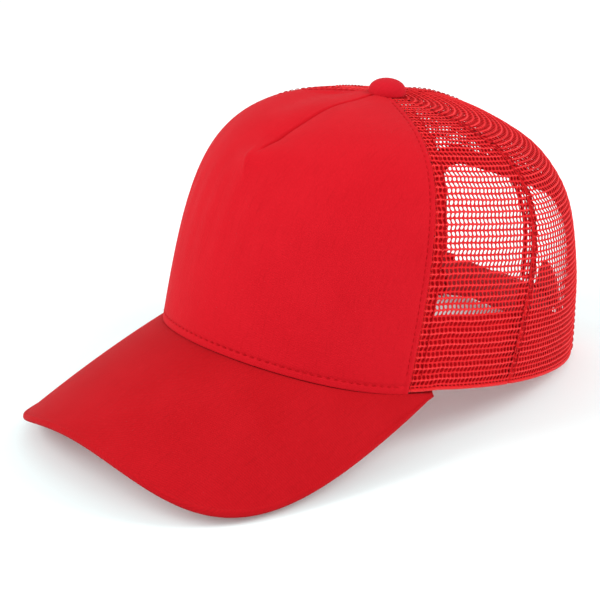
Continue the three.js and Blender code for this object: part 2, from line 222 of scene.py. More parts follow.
def back_at(x, z):
    """The angle and the curve parameter of the crown's back at this x and height."""
    angle = np.full(np.shape(x), math.pi)
    for _ in range(14):
        t = level_at(angle, z)
        angle = math.pi - np.arcsin(np.clip(x / (RIM_HALF_WIDTH * spread(angle, t)), -0.99, 0.99))
    return angle, level_at(angle, z)


def front_seam(t):
    return np.radians(FRONT_SEAM_ANGLE + FRONT_SEAM_BOW * np.sin(math.pi * np.asarray(t, float)))


def side_seam(t):
    return np.full(np.shape(t), math.radians(SIDE_SEAM_ANGLE))


def back_seam(t):
    return np.full(np.shape(t), math.pi)


def mirrored(seam):
    return lambda t: -seam(t)


def run_along(points):
    """How far along a line each of its points is."""
    return np.concatenate([[0], np.cumsum(np.linalg.norm(np.diff(points, axis=0), axis=1))])


def as_angle(millimetres, angle, t):
    return millimetres / (RIM_HALF_WIDTH * spread(angle, t))


def beside(seam, offset):
    """The line this many millimetres beside a seam, towards the wearer's left."""
    return lambda t: seam(t) + as_angle(offset, seam(t), t)


# ---- putting shapes in the row frame ----
def to_row(points):
    """Cap millimetres to metres in the row frame, at rest."""
    points = np.asarray(points, float)
    c, s = math.cos(REST_TILT), math.sin(REST_TILT)
    x, y, z = points[..., 0], points[..., 1], points[..., 2]
    turned = np.stack([x, y * c + z * s, z * c - y * s], axis=-1)
    return (turned + REST_SHIFT) / 1000


def strap_point(x, y, z):
    """A point of the strap's own upright plane, in cap millimetres."""
    c, s = math.cos(STRAP_LEAN), math.sin(STRAP_LEAN)
    return np.stack([x, STRAP_ROOT_Y + y * c - z * s, y * s + z * c], axis=-1)


def seat_point(x, y, z):
    """A point of the button's seat, in cap millimetres."""
    c, s = math.cos(BUTTON_LEAN), math.sin(BUTTON_LEAN)
    return np.stack([x, CROWN_TOP_Y + y * c - z * s,
                     CROWN_HEIGHT + BUTTON_LIFT + y * s + z * c], axis=-1)


def add_object(name, data):
    made = bpy.data.objects.new(name, data)
    bpy.context.scene.collection.objects.link(made)
    return made


def add_piece(name, points, faces, material, node=None, weave=None, body="cap",
              outward=True):
    """A mesh piece from cap millimetres. weave is its flat coordinates, in millimetres."""
    mesh = bpy.data.meshes.new(name)
    mesh.from_pydata(to_row(points).tolist(), [], [list(map(int, f)) for f in faces])
    if outward:
        work = bmesh.new()
        work.from_mesh(mesh)
        bmesh.ops.recalc_face_normals(work, faces=work.faces)
        work.to_mesh(mesh)
        work.free()
    mesh.polygons.foreach_set("use_smooth", np.ones(len(mesh.polygons), bool))
    flat = mesh.attributes.new("weave", "FLOAT_VECTOR", "POINT")
    flat.data.foreach_set("vector", np.asarray(weave, np.float32).ravel())
    mesh.materials.append(material)
    piece = add_object(name, mesh)
    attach(piece, body)
    if node:
        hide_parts(node)
    return piece


def shell(outer, inner):
    """Vertices and faces of a closed sheet between two grids of points, (nu, nv, 3) each."""
    nu, nv = outer.shape[:2]
    count = nu * nv
    i = np.arange(count).reshape(nu, nv)
    o = i + count

    def quads(a, b, c, d):
        return np.stack([a, b, c, d], axis=-1).reshape(-1, 4)

    faces = np.concatenate([
        quads(i[:-1, :-1], i[1:, :-1], i[1:, 1:], i[:-1, 1:]),
        quads(o[:-1, :-1], o[:-1, 1:], o[1:, 1:], o[1:, :-1]),
        quads(i[:-1, 0], o[:-1, 0], o[1:, 0], i[1:, 0]),
        quads(i[:-1, -1], i[1:, -1], o[1:, -1], o[:-1, -1]),
        quads(i[0, :-1], i[0, 1:], o[0, 1:], o[0, :-1]),
        quads(i[-1, :-1], o[-1, :-1], o[-1, 1:], i[-1, 1:]),
    ])
    return np.concatenate([outer.reshape(-1, 3), inner.reshape(-1, 3)]), faces


def both(flat_u, flat_v):
    """The weave coordinates of shell()'s two layers."""
    layer = np.stack([flat_u, flat_v, np.zeros(flat_u.shape)], axis=-1).reshape(-1, 3)
    return np.concatenate([layer, layer])


def sweep(sections):
    """Vertices and faces of a closed tube through closed sections, (steps, around, 3)."""
    steps, around = sections.shape[:2]
    i = np.arange(steps * around).reshape(steps, around)
    j = np.roll(i, -1, axis=1)
    walls = np.stack([i[:-1], j[:-1], j[1:], i[1:]], axis=-1).reshape(-1, 4)
    faces = [list(f) for f in walls] + [list(i[0][::-1]), list(i[-1])]
    return sections.reshape(-1, 3), faces


def edged(length, count, marks=(0, 0.12, 0.35, 0.7, 1.2)):
    """Distances from 0 to length, closer together at both ends."""
    marks = np.array(marks, float)
    inner = np.linspace(marks[-1], length - marks[-1], count)[1:-1]
    return np.concatenate([marks, inner, length - marks[::-1]])


def rounding(distance, radius):
    """How far a rounded edge has fallen, as a share of its radius, this far from the border."""
    return 1 - np.sqrt(1 - np.clip(1 - distance / radius, 0, 1) ** 2)


def add_crown_sheet(name, angle, t, depths, material, node, flat, outward=False):
    """A closed sheet between two depths in the crown, with flat coordinates for its weave."""
    points, faces = shell(*(crown_inside(angle, t, depth) for depth in depths))
    return add_piece(name, points, faces, material, node, both(*flat), outward=outward)


# ---- materials ----
def fill(tree, socket, value):
    """Link a socket, or set its own number or colour."""
    if isinstance(value, Link):
        tree.links.new(value.socket, socket)
    else:
        socket.default_value = (*value, 1) if socket.type == "RGBA" else value


class Link:
    """A node's output; arithmetic on it adds Math nodes."""

    def __init__(self, surface, socket):
        self.surface, self.socket = surface, socket

    def joined(self, operation, a, b):
        tree = self.surface.tree
        node = tree.nodes.new("ShaderNodeMath")
        node.operation = operation
        for socket, value in zip(node.inputs, (a, b)):
            fill(tree, socket, value)
        return Link(self.surface, node.outputs[0])

    def __add__(self, other):
        return self.joined("ADD", self, other)

    def __mul__(self, other):
        return self.joined("MULTIPLY", self, other)

    def __rsub__(self, other):
        return self.joined("SUBTRACT", other, self)

    def ramp(self, low, high):
        """0 below low and 1 above high, with a smooth step between them."""
        return self.surface.node("MapRange", "Result", interpolation_type="SMOOTHSTEP",
                                 Value=self, From_Min=low, From_Max=high)


class Surface:
    """A material, and the nodes that its looks are drawn with."""

    def __init__(self, name, **settings):
        self.material = bpy.data.materials.new(name)
        self.material.use_nodes = True
        self.tree = self.material.node_tree
        self.shader = self.tree.nodes["Principled BSDF"]
        self.set_up(self.shader, settings)

    def set_up(self, node, settings):
        """Settings with a capital letter are the node's sockets; the others are its own."""
        for key, value in settings.items():
            if key[0].isupper():
                fill(self.tree, node.inputs[key.replace("_", " ")], value)
            else:
                setattr(node, key, value)

    def node(self, kind, output, **settings):
        node = self.tree.nodes.new("ShaderNode" + kind)
        self.set_up(node, settings)
        return Link(self, node.outputs[output])

    def flat(self, turn=0):
        """The weave coordinates in millimetres, turned by this many degrees."""
        flat = self.node("Attribute", "Vector", attribute_name="weave")
        return self.node("Mapping", "Vector", Vector=flat, Rotation=(0, 0, math.radians(turn)))

    def stripes(self, turn, pitch, distortion=0.0, detail=1.0):
        """Threads side by side, this many millimetres apart."""
        return self.node("TexWave", "Fac", wave_type="BANDS", bands_direction="X",
                         wave_profile="SIN", Vector=self.flat(turn), Distortion=distortion,
                         Scale=math.pi / 10 / pitch, Detail=detail)

    def noise(self, vector, size, detail=2.0):
        return self.node("TexNoise", "Fac", Vector=vector, Scale=1 / size, Detail=detail)

    def mix(self, factor, a, b):
        return self.node("Mix", "Result", data_type="RGBA", Factor=factor, A=a, B=b)

    def finished(self, colour, height, strength, distance):
        """The material with this colour, and with relief up to this distance in metres."""
        normal = self.node("Bump", "Normal", Height=height, Strength=strength, Distance=distance)
        self.set_up(self.shader, {"Base_Color": colour, "Normal": normal})
        return self.material


def twill(name, colour, dark, bright, rib=0.62, relief=0.6):
    """Cotton twill: fine diagonal ribs, a thread grain, slubs, and slow changes of tone."""
    cloth = Surface(name, Roughness=0.85, Specular_IOR_Level=0.1, Sheen_Weight=0.03,
                    Sheen_Roughness=0.45, Sheen_Tint=(1.0, 0.55, 0.55))
    plain = cloth.flat()
    weave = cloth.stripes(58, rib, 1.2, 2.0) * 0.6 + cloth.stripes(-32, rib * 0.8, 2.0, 2.0) * 0.4
    drawn = cloth.node("Mapping", "Vector", Vector=plain, Scale=(1.0, 0.09, 1.0))
    slubs = cloth.noise(drawn, 0.9)
    height = weave + cloth.noise(plain, 0.35, 3.0) * 0.8 + slubs * 1.2
    body = cloth.mix(cloth.noise(plain, 22.0), colour, bright)
    body = cloth.mix(slubs.ramp(0.5, 0.8) * 0.22, body, dark)
    woven = cloth.mix((1.0 - weave) * 0.34, body, dark)
    worn = cloth.noise(plain, 1.6, 3.0).ramp(0.5, 0.75) * 0.3
    return cloth.finished(cloth.mix(worn, woven, bright), height, relief, 0.00012)


def net_cloth(name, colour, dark, bright, painted_shade=0.6):
    """Knitted polyester net: twisted threads, with a painted highlight on the rows and painted
    shade between them.
    """
    cloth = Surface(name, Roughness=0.7, Specular_IOR_Level=0.12, Sheen_Weight=0.04,
                    Sheen_Tint=(1.0, 0.6, 0.6))
    flat = cloth.flat()
    painted_light_level = cloth.node("SeparateXYZ", "Z", Vector=flat)
    twist = cloth.stripes(38, 0.8, 1.0)
    body = cloth.mix(cloth.noise(flat, 9.0), dark, colour)
    # Painted shade: where the painted light level is low (hole walls, thread sides), the colour is
    # mixed towards a dark red.
    body = cloth.mix((1.0 - painted_light_level.ramp(0.02, 0.17)) * painted_shade, body, (0.26, 0.0008, 0.003))
    # Painted highlight: where the painted light level is high (tops of the row threads), the colour
    # is mixed towards the bright colour.
    lit = painted_light_level.ramp(0.25, 1.0) * (twist * 0.65 + 0.35)
    return cloth.finished(cloth.mix(lit, body, bright), twist + cloth.noise(flat, 0.4),
                          0.5, 0.0002)


def tape_cloth(name, colour, dark, rib=0.9):
    """Woven tape, with fine ribs across its length."""
    cloth = Surface(name, Roughness=0.85, Specular_IOR_Level=0.1, Sheen_Weight=0.03)
    weave = cloth.stripes(90, rib, 0.5) * cloth.stripes(0, rib * 0.6, 0.8)
    height = weave + cloth.noise(cloth.flat(), 0.5, 3.0) * 0.6
    return cloth.finished(cloth.mix((1.0 - weave) * 0.5, colour, dark), height, 0.6, 0.0002)


def sewing_thread(name, colour, dark):
    """Sewing thread: two strands twisted together."""
    thread = Surface(name, Roughness=0.7, Specular_IOR_Level=0.06, Sheen_Weight=0.01)
    twist = thread.stripes(55, 0.45, 0.3)
    return thread.finished(thread.mix(twist, dark, colour), twist, 0.6, 0.0001)


def soft_plastic(name, colour, dark, roughness):
    """Moulded plastic: a fine matt grain and faint clouding."""
    surface = Surface(name, Specular_IOR_Level=0.5)
    plain = surface.flat()
    grain = surface.noise(plain, 0.8, 3.0)
    uneven = surface.node("MapRange", "Result", Value=grain, To_Min=roughness - 0.08,
                          To_Max=roughness + 0.12)
    surface.set_up(surface.shader, {"Roughness": uneven})
    clouds = surface.noise(plain, 14.0)
    return surface.finished(surface.mix(clouds, dark, colour), grain, 0.15, 0.0001)


def hard_sheet(name, dark, pale, grain_size, cloud_size, detail, relief, **settings):
    """Pressed steel or stiff board: a fine grain, and dull clouds."""
    surface = Surface(name, **settings)
    place = surface.node("TexCoord", "Object")
    clouds = surface.noise(place, cloud_size, detail)
    grain = surface.noise(place, grain_size, detail + 1)
    return surface.finished(surface.mix(clouds, dark, pale), grain, 0.2, relief)


FRONT_CLOTH = twill("front_twill", (0.54, 0.0034, 0.0108), (0.36, 0.0015, 0.0045),
                    (0.61, 0.007, 0.016))
# The visor's twill is the front's twill painted darker: painted shade on its upward-facing top,
# which the lamps light more.
VISOR_CLOTH = twill("visor_twill", (0.425, 0.0012, 0.0052), (0.27, 0.001, 0.003),
                    (0.50, 0.005, 0.011), 0.75, 0.8)
BUTTON_CLOTH = twill("button_twill", (0.51, 0.005, 0.016), (0.36, 0.002, 0.006),
                     (0.62, 0.010, 0.022), 0.6, 0.5)
# The net's third colour is its painted highlight on the row threads.
NET_CLOTH = net_cloth("net_polyester", (0.72, 0.005, 0.010), (0.58, 0.003, 0.006),
                      (0.94, 0.055, 0.060))
# The fold's net is painted lighter than the side nets, with little painted shade on its hole walls:
# painted light against the shade in the seam's fold.
FOLD_CLOTH = net_cloth("net_fold", (0.90, 0.012, 0.018), (0.80, 0.008, 0.012),
                       (0.96, 0.055, 0.060), 0.15)
TAPE_CLOTH = tape_cloth("tape_weave", (0.80, 0.008, 0.014), (0.52, 0.003, 0.006))
BAND_CLOTH = twill("band_twill", (0.74, 0.005, 0.011), (0.50, 0.002, 0.004),
                   (0.80, 0.008, 0.016), 0.8, 0.6)
FOAM_CLOTH = tape_cloth("foam_backing", (0.74, 0.008, 0.014), (0.56, 0.004, 0.008), 1.6)
THREAD = sewing_thread("red_thread", (0.56, 0.004, 0.010), (0.34, 0.001, 0.003))
STRAP_PLASTIC = soft_plastic("strap_plastic", (0.60, 0.005, 0.012), (0.50, 0.003, 0.008), 0.34)
STEEL = hard_sheet("button_steel", (0.52, 0.52, 0.51), (0.74, 0.74, 0.73), 0.0006, 0.003, 3.0,
                   0.00005, Roughness=0.35, Specular_IOR_Level=0.5, Metallic=1.0)
BOARD = hard_sheet("visor_board_plastic", (0.80, 0.80, 0.77), (0.88, 0.88, 0.86), 0.0015, 0.02,
                   2.0, 0.0001, Roughness=0.5, Specular_IOR_Level=0.4)


# ---- stitching ----
def stitch_row(name, angle, t, depth, slot, pitch=STITCH_PITCH, length=STITCH_LENGTH,
               radius=STITCH_RADIUS, inside=False):
    """A row of thread stitches along a line of the crown, this deep, outside it or inside."""
    points, normals = crown_inside(angle, t, depth), crown_normal(angle, t)
    if inside:
        normals = -normals
    run = run_along(points)
    count = max(1, int(run[-1] / pitch))
    step = run[-1] / count
    # A stitch is a rounded tube of five rings, whose ends dip into the cloth.
    around, rings = 6, np.array([-1.0, -0.72, 0.0, 0.72, 1.0])
    size = np.array([0.35, 0.92, 1.0, 0.92, 0.35])
    lift = np.array([-0.9, 0.25, 0.62, 0.25, -0.9]) * radius
    centres = (np.arange(count) + 0.5) * step + RANDOM.uniform(-0.06, 0.06, count)
    along = centres[:, None] + rings[None] * length / 2

    def at(values, where):
        return np.stack([np.interp(where, run, values[:, k]) for k in range(3)], axis=-1)

    spine, out = at(points, along), at(normals, along)
    out /= np.linalg.norm(out, axis=-1, keepdims=True)
    ahead = at(points, along + 0.1) - at(points, along - 0.1)
    ahead /= np.maximum(np.linalg.norm(ahead, axis=-1, keepdims=True), 1e-9)
    side = np.cross(out, ahead)
    turn = np.arange(around) * 2 * math.pi / around
    ring = (np.cos(turn)[None, None, :, None] * side[:, :, None]
            + np.sin(turn)[None, None, :, None] * out[:, :, None] * 0.85)
    verts = ((spine + out * lift[None, :, None])[:, :, None]
             + ring * (radius * size)[None, :, None, None])
    index = np.arange(verts[..., 0].size).reshape(count, len(rings), around)
    after = np.roll(index, -1, axis=2)
    walls = np.stack([index[:, :-1], after[:, :-1], after[:, 1:], index[:, 1:]], axis=-1)
    faces = [list(f) for f in walls.reshape(-1, 4)]
    faces += [list(c[::-1]) for c in index[:, 0]] + [list(c) for c in index[:, -1]]
    weave = np.stack([np.broadcast_to(along[:, :, None], verts.shape[:3]),
                      np.broadcast_to(turn * radius, verts.shape[:3]),
                      np.ones(verts.shape[:3])], axis=-1)
    return add_piece(name, verts.reshape(-1, 3), faces, THREAD, None, weave.reshape(-1, 3))


def seam_line(seam, offset, low, high, count=160):
    """Angles and curve parameters of a line beside a seam, offset in millimetres."""
    t = np.linspace(low, high, count)
    return beside(seam, offset)(t), t


# ---- flat coordinates of the crown's panels ----
class PanelMap:
    """Flat coordinates of a panel: x along its rows, from its middle, and s up from its foot."""

    def __init__(self, start, end, foot=PANEL_FOOT, top=PANEL_TOP):
        self.start, self.end = start, end
        self.angles = np.linspace(-math.pi - 0.05, math.pi + 0.05, 4000)
        depth = np.where(np.cos(self.angles) > 0, RIM_FRONT, RIM_BACK)
        speed = np.hypot(RIM_HALF_WIDTH * np.cos(self.angles), depth * np.sin(self.angles))
        self.reach = np.cumsum(speed)
        self.t = np.linspace(foot, top, 500)
        middle = (start(self.t) + end(self.t)) / 2
        self.s = run_along(crown_point(middle, self.t))
        share = np.linspace(0, 1, 60)[:, None]
        angle = start(self.t)[None] + (end(self.t) - start(self.t))[None] * share
        row = np.diff(crown_point(angle, np.broadcast_to(self.t, angle.shape)), axis=0)
        self.width = np.linalg.norm(row, axis=2).sum(axis=0)

    def row_width(self, s):
        return np.interp(s, self.s, self.width)

    def place(self, x, s):
        """Angle and curve parameter at flat coordinates, kept inside the panel."""
        t = np.interp(s, self.s, self.t)
        low = np.interp(self.start(t), self.angles, self.reach)
        high = np.interp(self.end(t), self.angles, self.reach)
        width = self.row_width(s)
        share = np.clip(0.5 + x / width, 0.15 / width, 1 - 0.15 / width)
        return np.interp(low + (high - low) * share, self.reach, self.angles), t


# ---- front panel ----
def front_relief(across, t):
    """How far the front panel stands out of the plain crown: the centre dart and its folds."""
    deep = smooth_step(t, 0.515, 0.62) * (1 - 0.72 * smooth_step(t, 0.68, 0.86))
    deep = deep * (1 - smooth_step(t, 0.90, 0.97))
    valley = -3.6 * np.exp(-np.abs(across) / np.where(across < 0, 8.5, 10.0)) * deep
    groove = -1.1 * bell(across, 0, 0.65) * smooth_step(t, 0.51, 0.54)
    tip = 2.1 * bell(across, -1.5, 7.5) * bell(t, 0.475, 0.04)
    curl = 0.7 * bell(across + 40 * (t - 0.47), -1.5, 1.6) * bell(t, 0.47, 0.05)
    below = 0.8 * bell(across, -1.0, 7.0) * bell(t, 0.39, 0.08)
    pulled = (-2.0 * bell(across, -22.0, 13.0)
              * smooth_step(t, 0.62, 0.78) * (1 - smooth_step(t, 0.88, 0.97)))
    wander = np.sin(across * 0.21 + 1.3 + 5 * t) * np.sin(t * 9 + 0.4) * 0.12
    drape = np.sin(across * 0.55 + 2.0 * np.sin(t * 6)) * bell(t, 0.30, 0.14) * 0.14
    return valley + groove + tip + curl + below + pulled + wander + drape


def add_front_panel():
    panel = PanelMap(mirrored(front_seam), front_seam, 0.0)
    height = panel.s[-1]
    rise = edged(height, 128, (0, 0.15, 0.4, 0.8, 1.3, 2.0, 2.5, 2.9, 3.2, 3.5, 3.9, 4.4, 5.2))
    t = np.interp(rise, panel.s, panel.t)
    fine = np.linspace(-1, 1, 221)
    near = np.sign(fine) * np.abs(fine) ** 1.35
    ends = 1 - np.array([0.0, 0.0014, 0.0035, 0.008, 0.014, 0.021])
    across = np.sort(np.concatenate([-ends, near[2:-2], ends]))
    u, tt = np.meshgrid(across, t, indexing="ij")
    up = np.broadcast_to(rise, u.shape)
    edge = beside(front_seam, -0.15)(tt)
    angle = edge * u
    x = angle * RIM_HALF_WIDTH * spread(angle, tt)
    to_seam = edge * RIM_HALF_WIDTH * spread(edge, tt) - np.abs(x)
    to_edge = np.minimum(to_seam, up + 0.5)
    relief = front_relief(x, tt) * smooth_step(to_seam, 0, 6)
    puckers = 1 + 0.45 * np.cos(2 * math.pi * x / FOOT_STITCH_PITCH)
    outer_depth = (0.8 * rounding(to_edge, 1.1) - relief
                   + 0.28 * bell(to_seam, SEAM_STITCH, 0.7)
                   + 0.34 * puckers * bell(up, FOOT_STITCH, 0.55))
    inner_depth = np.minimum(np.maximum(1.35 - relief * 0.8 - 0.4 * rounding(to_edge, 1.2),
                                        outer_depth + 0.15), 6.0)
    add_crown_sheet("front_panel_cloth", angle, tt, (outer_depth, inner_depth), FRONT_CLOTH,
                    "front_panel", (x, up))
    low = np.radians(np.linspace(-62, 62, 200))
    stitch_row("visor_seam_stitches", low, level_at(low, FOOT_STITCH), 0.28, "front_cloth",
               FOOT_STITCH_PITCH, 2.3, 0.24)
    for side, seam, inward in (("left", front_seam, -SEAM_STITCH),
                               ("right", mirrored(front_seam), SEAM_STITCH)):
        stitch_row(f"{side}_front_panel_stitches", *seam_line(seam, inward, 0.03, 0.93), 0.27,
                   "front_cloth", 2.9, 2.3, 0.17)


def add_front_backing():
    low, high = 0.02, 0.93
    u, tt = np.meshgrid(np.linspace(-1, 1, 90), np.linspace(low, high, 60), indexing="ij")
    edge = beside(front_seam, 0.6 - TAPE_WIDTH / 2)(tt)
    angle = edge * u
    x = angle * RIM_HALF_WIDTH * spread(angle, tt)
    to_edge = np.minimum(edge * RIM_HALF_WIDTH * spread(edge, tt) * (1 - np.abs(u)),
                         np.minimum(tt - low, high - tt) * SEAM_RUN)
    sunk = np.maximum(-front_relief(x, tt), 0) * smooth_step(to_edge, 0, 4)
    inner = 2.9 - 0.9 * rounding(to_edge + 0.1, 1.6) - 0.12 * np.sin(x * 0.4) * np.sin(tt * 40)
    backing = add_crown_sheet("front_foam_backing", angle, tt, (1.75 + sunk, inner + sunk),
                              FOAM_CLOTH, "front_backing", (x, tt * SEAM_RUN))


# ---- net panels ----
def opening_distance(x, z):
    """How far a point is outside the rear opening, in millimetres; negative inside it."""
    qx = np.abs(x) - (OPENING_HALF_WIDTH - OPENING_CORNER)
    qz = z - (OPENING_HEIGHT - OPENING_CORNER)
    outside = np.hypot(np.maximum(qx, 0), np.maximum(qz, 0))
    return np.minimum(np.maximum(qx, qz), 0) + outside - OPENING_CORNER


# A cell's eight hole corners as shares of the cell, from the lower left, turning left, and
# the depth and painted light level of the rings that a thread's round side goes through:
# a painted highlight on the thread's top, painted shade down its sides and under it.
CELL_CORNERS = np.array(
    [(0, 0), (0.5, 0), (1, 0), (1, 0.5), (1, 1), (0.5, 1), (0, 1), (0, 0.5)], float)
CORNER_SHARE, SHOULDER_SHARE = 0.92, 0.62
SHOULDER, WAIST, UNDERSIDE = (0.22, 0.45), (0.42, 0.0), (0.66, 0.1)
# The net's back gets a low painted light level: painted shade.
BACK_DEPTH, BACK_PAINTED_LIGHT = 0.78, 0.2
WEAK_ROW = 0.62


def add_net(name, node, start, end, is_back=False, sunk=0.0, phase=0.0,
            foot=PANEL_FOOT, top=PANEL_TOP, material=NET_CLOTH):
    """An open net between two seams; phase moves its columns by a share of a cell."""
    panel = PanelMap(start, end, foot, top)
    rows = int(panel.s[-1] / NET_ROW)
    pitch = panel.s[-1] / rows
    columns = int(panel.width.max() / 2 / NET_COLUMN) + 2
    i = np.arange(-columns, columns + 1)
    k = np.arange(rows + 1)
    wide, tall = len(i), len(k)
    jitter = RANDOM.normal(0, 0.07, (3, wide, tall))
    gi, gk = np.meshgrid(i, k, indexing="ij")
    lean = NET_LEAN * np.where(gk % 2 == 0, 1, -1)
    corner_x = (gi + phase) * NET_COLUMN + lean + jitter[0]
    corner_s = gk * pitch + jitter[1] * np.where((gk > 0) & (gk < rows), 1, 0)
    half = panel.row_width(corner_s) / 2
    strong = np.where(gk % 2 == 0, 1.0, WEAK_ROW)

    # Cells are kept where they are wide enough and not in the rear opening.
    middle_x = (corner_x[:-1, :-1] + corner_x[1:, 1:]) / 2
    middle_s = (corner_s[:-1, :-1] + corner_s[1:, 1:]) / 2
    left = np.maximum(corner_x[:-1, :-1], -half[:-1, :-1])
    right = np.minimum(corner_x[1:, :-1], half[:-1, :-1])
    keep = (right - left > 0.35) & (np.abs(middle_x) < panel.row_width(middle_s) / 2 + 1.0)
    if is_back:
        angle, t = panel.place(middle_x, middle_s)
        centre = crown_point(angle, t)
        keep &= opening_distance(centre[..., 0], centre[..., 2]) > BINDING_WIDTH - 1.8

    # Boundary points of every cell, shared with its neighbours: corners, row and column middles.
    def along_row(a):
        return (a[:-1] + a[1:]) / 2

    def up_column(a):
        return (a[:, :-1] + a[:, 1:]) / 2

    row_strength = along_row(strong)
    across_rows = np.ones((wide, tall - 1))
    # Each grid holds x, s, depth and painted light level: a painted highlight on the rows, less on
    # the weak ones, and painted shade on the column middles.
    grids = (
        (corner_x, corner_s, 0.02 + 0.22 * (1 - strong), strong),
        (along_row(corner_x), along_row(corner_s) - 0.05, 0.08 + 0.24 * (1 - row_strength),
         0.95 * row_strength),
        (up_column(corner_x), up_column(corner_s), 0.26 * across_rows, 0.22 * across_rows),
    )
    ids, count = [], 0
    for grid in grids:
        ids.append(np.arange(count, count + grid[0].size).reshape(grid[0].shape))
        count += grid[0].size
    corner, row, column = ids
    outline = np.stack([
        corner[:-1, :-1], row[:, :-1], corner[1:, :-1], column[1:],
        corner[1:, 1:], row[:, 1:], corner[:-1, 1:], column[:-1]], axis=-1)[keep]
    edge_x, edge_s, edge_depth, edge_painted_light = (
        np.concatenate([grid[part].ravel() for grid in grids]) for part in range(4))
    edge_flat = np.column_stack([edge_x, edge_s])
    cells = len(outline)
    ring = edge_flat[outline]
    middle = ring.mean(axis=1, keepdims=True)

    # The hole: the outline drawn in by half a thread, with its corners cut.
    hole = ring + np.array([NET_HALF_COLUMN, NET_HALF_ROW]) * (1 - 2 * CELL_CORNERS)
    is_corner = (CELL_CORNERS != 0.5).all(axis=1)[:, None]
    drawn_in = middle + (hole - middle) * np.array([HOLE_WAIST, CORNER_SHARE])
    hole = np.where(is_corner, drawn_in, hole)
    limit = panel.row_width(hole[..., 1]) / 2 - NET_HEM
    hole[..., 0] = np.clip(hole[..., 0], -limit, limit)
    hole[..., 1] = np.maximum(hole[..., 1], NET_FOOT_HEM)
    shoulder = ring + (hole - ring) * SHOULDER_SHARE
    flat, depth, painted_light = [edge_flat], [edge_depth], [edge_painted_light]
    starts, rings = count, [outline]
    for points, (level, tone), own in ((shoulder, SHOULDER, 0.25), (hole, WAIST, 0.25),
                                       (shoulder, UNDERSIDE, 0.0)):
        rings.append(np.arange(starts, starts + cells * 8).reshape(cells, 8))
        starts += cells * 8
        flat.append(points.reshape(-1, 2))
        depth.append(np.ravel(edge_depth[outline] * own + level * (1 - own)))
        painted_light.append(np.ravel(edge_painted_light[outline] * tone))
    rings.append(outline + starts)
    flat, depth, painted_light = (np.concatenate(part) for part in (
        flat + [edge_flat], depth + [np.full(count, BACK_DEPTH)],
        painted_light + [np.full(count, BACK_PAINTED_LIGHT)]))

    faces = [np.stack([a, np.roll(a, -1, 1), np.roll(b, -1, 1), b], axis=-1).reshape(-1, 4)
             for a, b in zip(rings[:-1], rings[1:])]
    # Walls close the sheet where a kept cell has no neighbour.
    padded = np.pad(keep, 1)
    for (first, second, third), (di, dk) in (
            ((0, 1, 2), (0, -1)), ((2, 3, 4), (1, 0)), ((4, 5, 6), (0, 1)), ((6, 7, 0), (-1, 0))):
        alone = ~padded[1 + di:padded.shape[0] - 1 + di, 1 + dk:padded.shape[1] - 1 + dk][keep]
        for a, b in ((first, second), (second, third)):
            p, q = outline[alone, a], outline[alone, b]
            faces.append(np.stack([q, p, p + starts, q + starts], axis=-1))
    used, faces = np.unique(np.concatenate(faces), return_inverse=True)
    x, s = flat[used].T
    angle, t = panel.place(x, np.clip(s, 0, panel.s[-1]))
    ripple = (0.22 * np.sin(x * 0.17 + s * 0.05) * np.sin(s * 0.12 + 0.8)
              * smooth_step(s, 4, 20))
    to_seam = panel.row_width(s) / 2 - np.abs(x)
    tucked = 0.85 * rounding(np.maximum(to_seam, 0), 1.3)
    points = crown_inside(angle, t, depth[used] + sunk + 0.08 + tucked
                          + ripple * smooth_step(to_seam, 2, 12))
    # The weave's third value carries the painted light level to the net's material.
    add_piece(name, points, faces.reshape(-1, 4), material, node,
              np.column_stack([x, s, painted_light[used]]), outward=False)


def add_nets():
    under_panel = beside(front_seam, -0.55)
    add_net("left_side_net", "left_side_mesh", under_panel, side_seam)
    add_net("right_side_net", "right_side_mesh", mirrored(side_seam), mirrored(under_panel))
    add_net("left_back_net", "left_back_mesh", side_seam, back_seam, True)
    add_net("right_back_net", "right_back_mesh", mirrored(back_seam), mirrored(side_seam), True)


# ---- tapes and the stitching along the seams ----
def add_tapes():
    seams = {
        "left_front": front_seam, "right_front": mirrored(front_seam),
        "left_side": side_seam, "right_side": mirrored(side_seam), "back_centre": back_seam,
    }
    over_opening = float(level_at(np.array(math.pi), OPENING_HEIGHT + BINDING_WIDTH - 1.0))
    outer_rows = (3.0, 2.3, 0.24)
    for name, seam in seams.items():
        if name.endswith("side"):
            add_net(f"{name}_net_fold", f"{name}_tape", beside(seam, -SEAM_FOLD / 2),
                    beside(seam, SEAM_FOLD / 2), False, 0.9, 0.35, 0.01, 0.88,
                    FOLD_CLOTH)
            for row, offset in (("a", -FOLD_STITCH), ("b", FOLD_STITCH)):
                stitch_row(f"{name}_net_stitches_{row}", *seam_line(seam, offset, 0.02, 0.88),
                           0.05, "mesh_cloth", *outer_rows)
            continue
        low = over_opening if name == "back_centre" else 0.01
        w, tt = np.meshgrid(edged(TAPE_WIDTH, 8, (0, 0.15, 0.4)) - TAPE_WIDTH / 2,
                            np.linspace(low, 0.9, 120), indexing="ij")
        angle = beside(seam, w)(tt)
        edge = rounding(TAPE_WIDTH / 2 - np.abs(w), 0.5) * 0.25
        ripple = 0.06 * np.sin(tt * SEAM_RUN * 0.9)
        add_crown_sheet(f"{name}_seam_tape", angle, tt, (1.62 + edge, 2.25 - edge + ripple),
                        TAPE_CLOTH, f"{name}_tape", (w, tt * SEAM_RUN))
        for row, offset in (("a", -TAPE_STITCH), ("b", TAPE_STITCH)):
            line = seam_line(seam, offset, low + 0.02, 0.88)
            stitch_row(f"{name}_tape_stitches_{row}", *line, 2.26, "seam_tape", 3.0, 2.3, 0.2,
                       inside=True)
            under_front = name.endswith("front") and (offset > 0) == (name == "right_front")
            if not under_front:
                stitch_row(f"{name}_net_stitches_{row}", *line, 0.05, "mesh_cloth", *outer_rows)


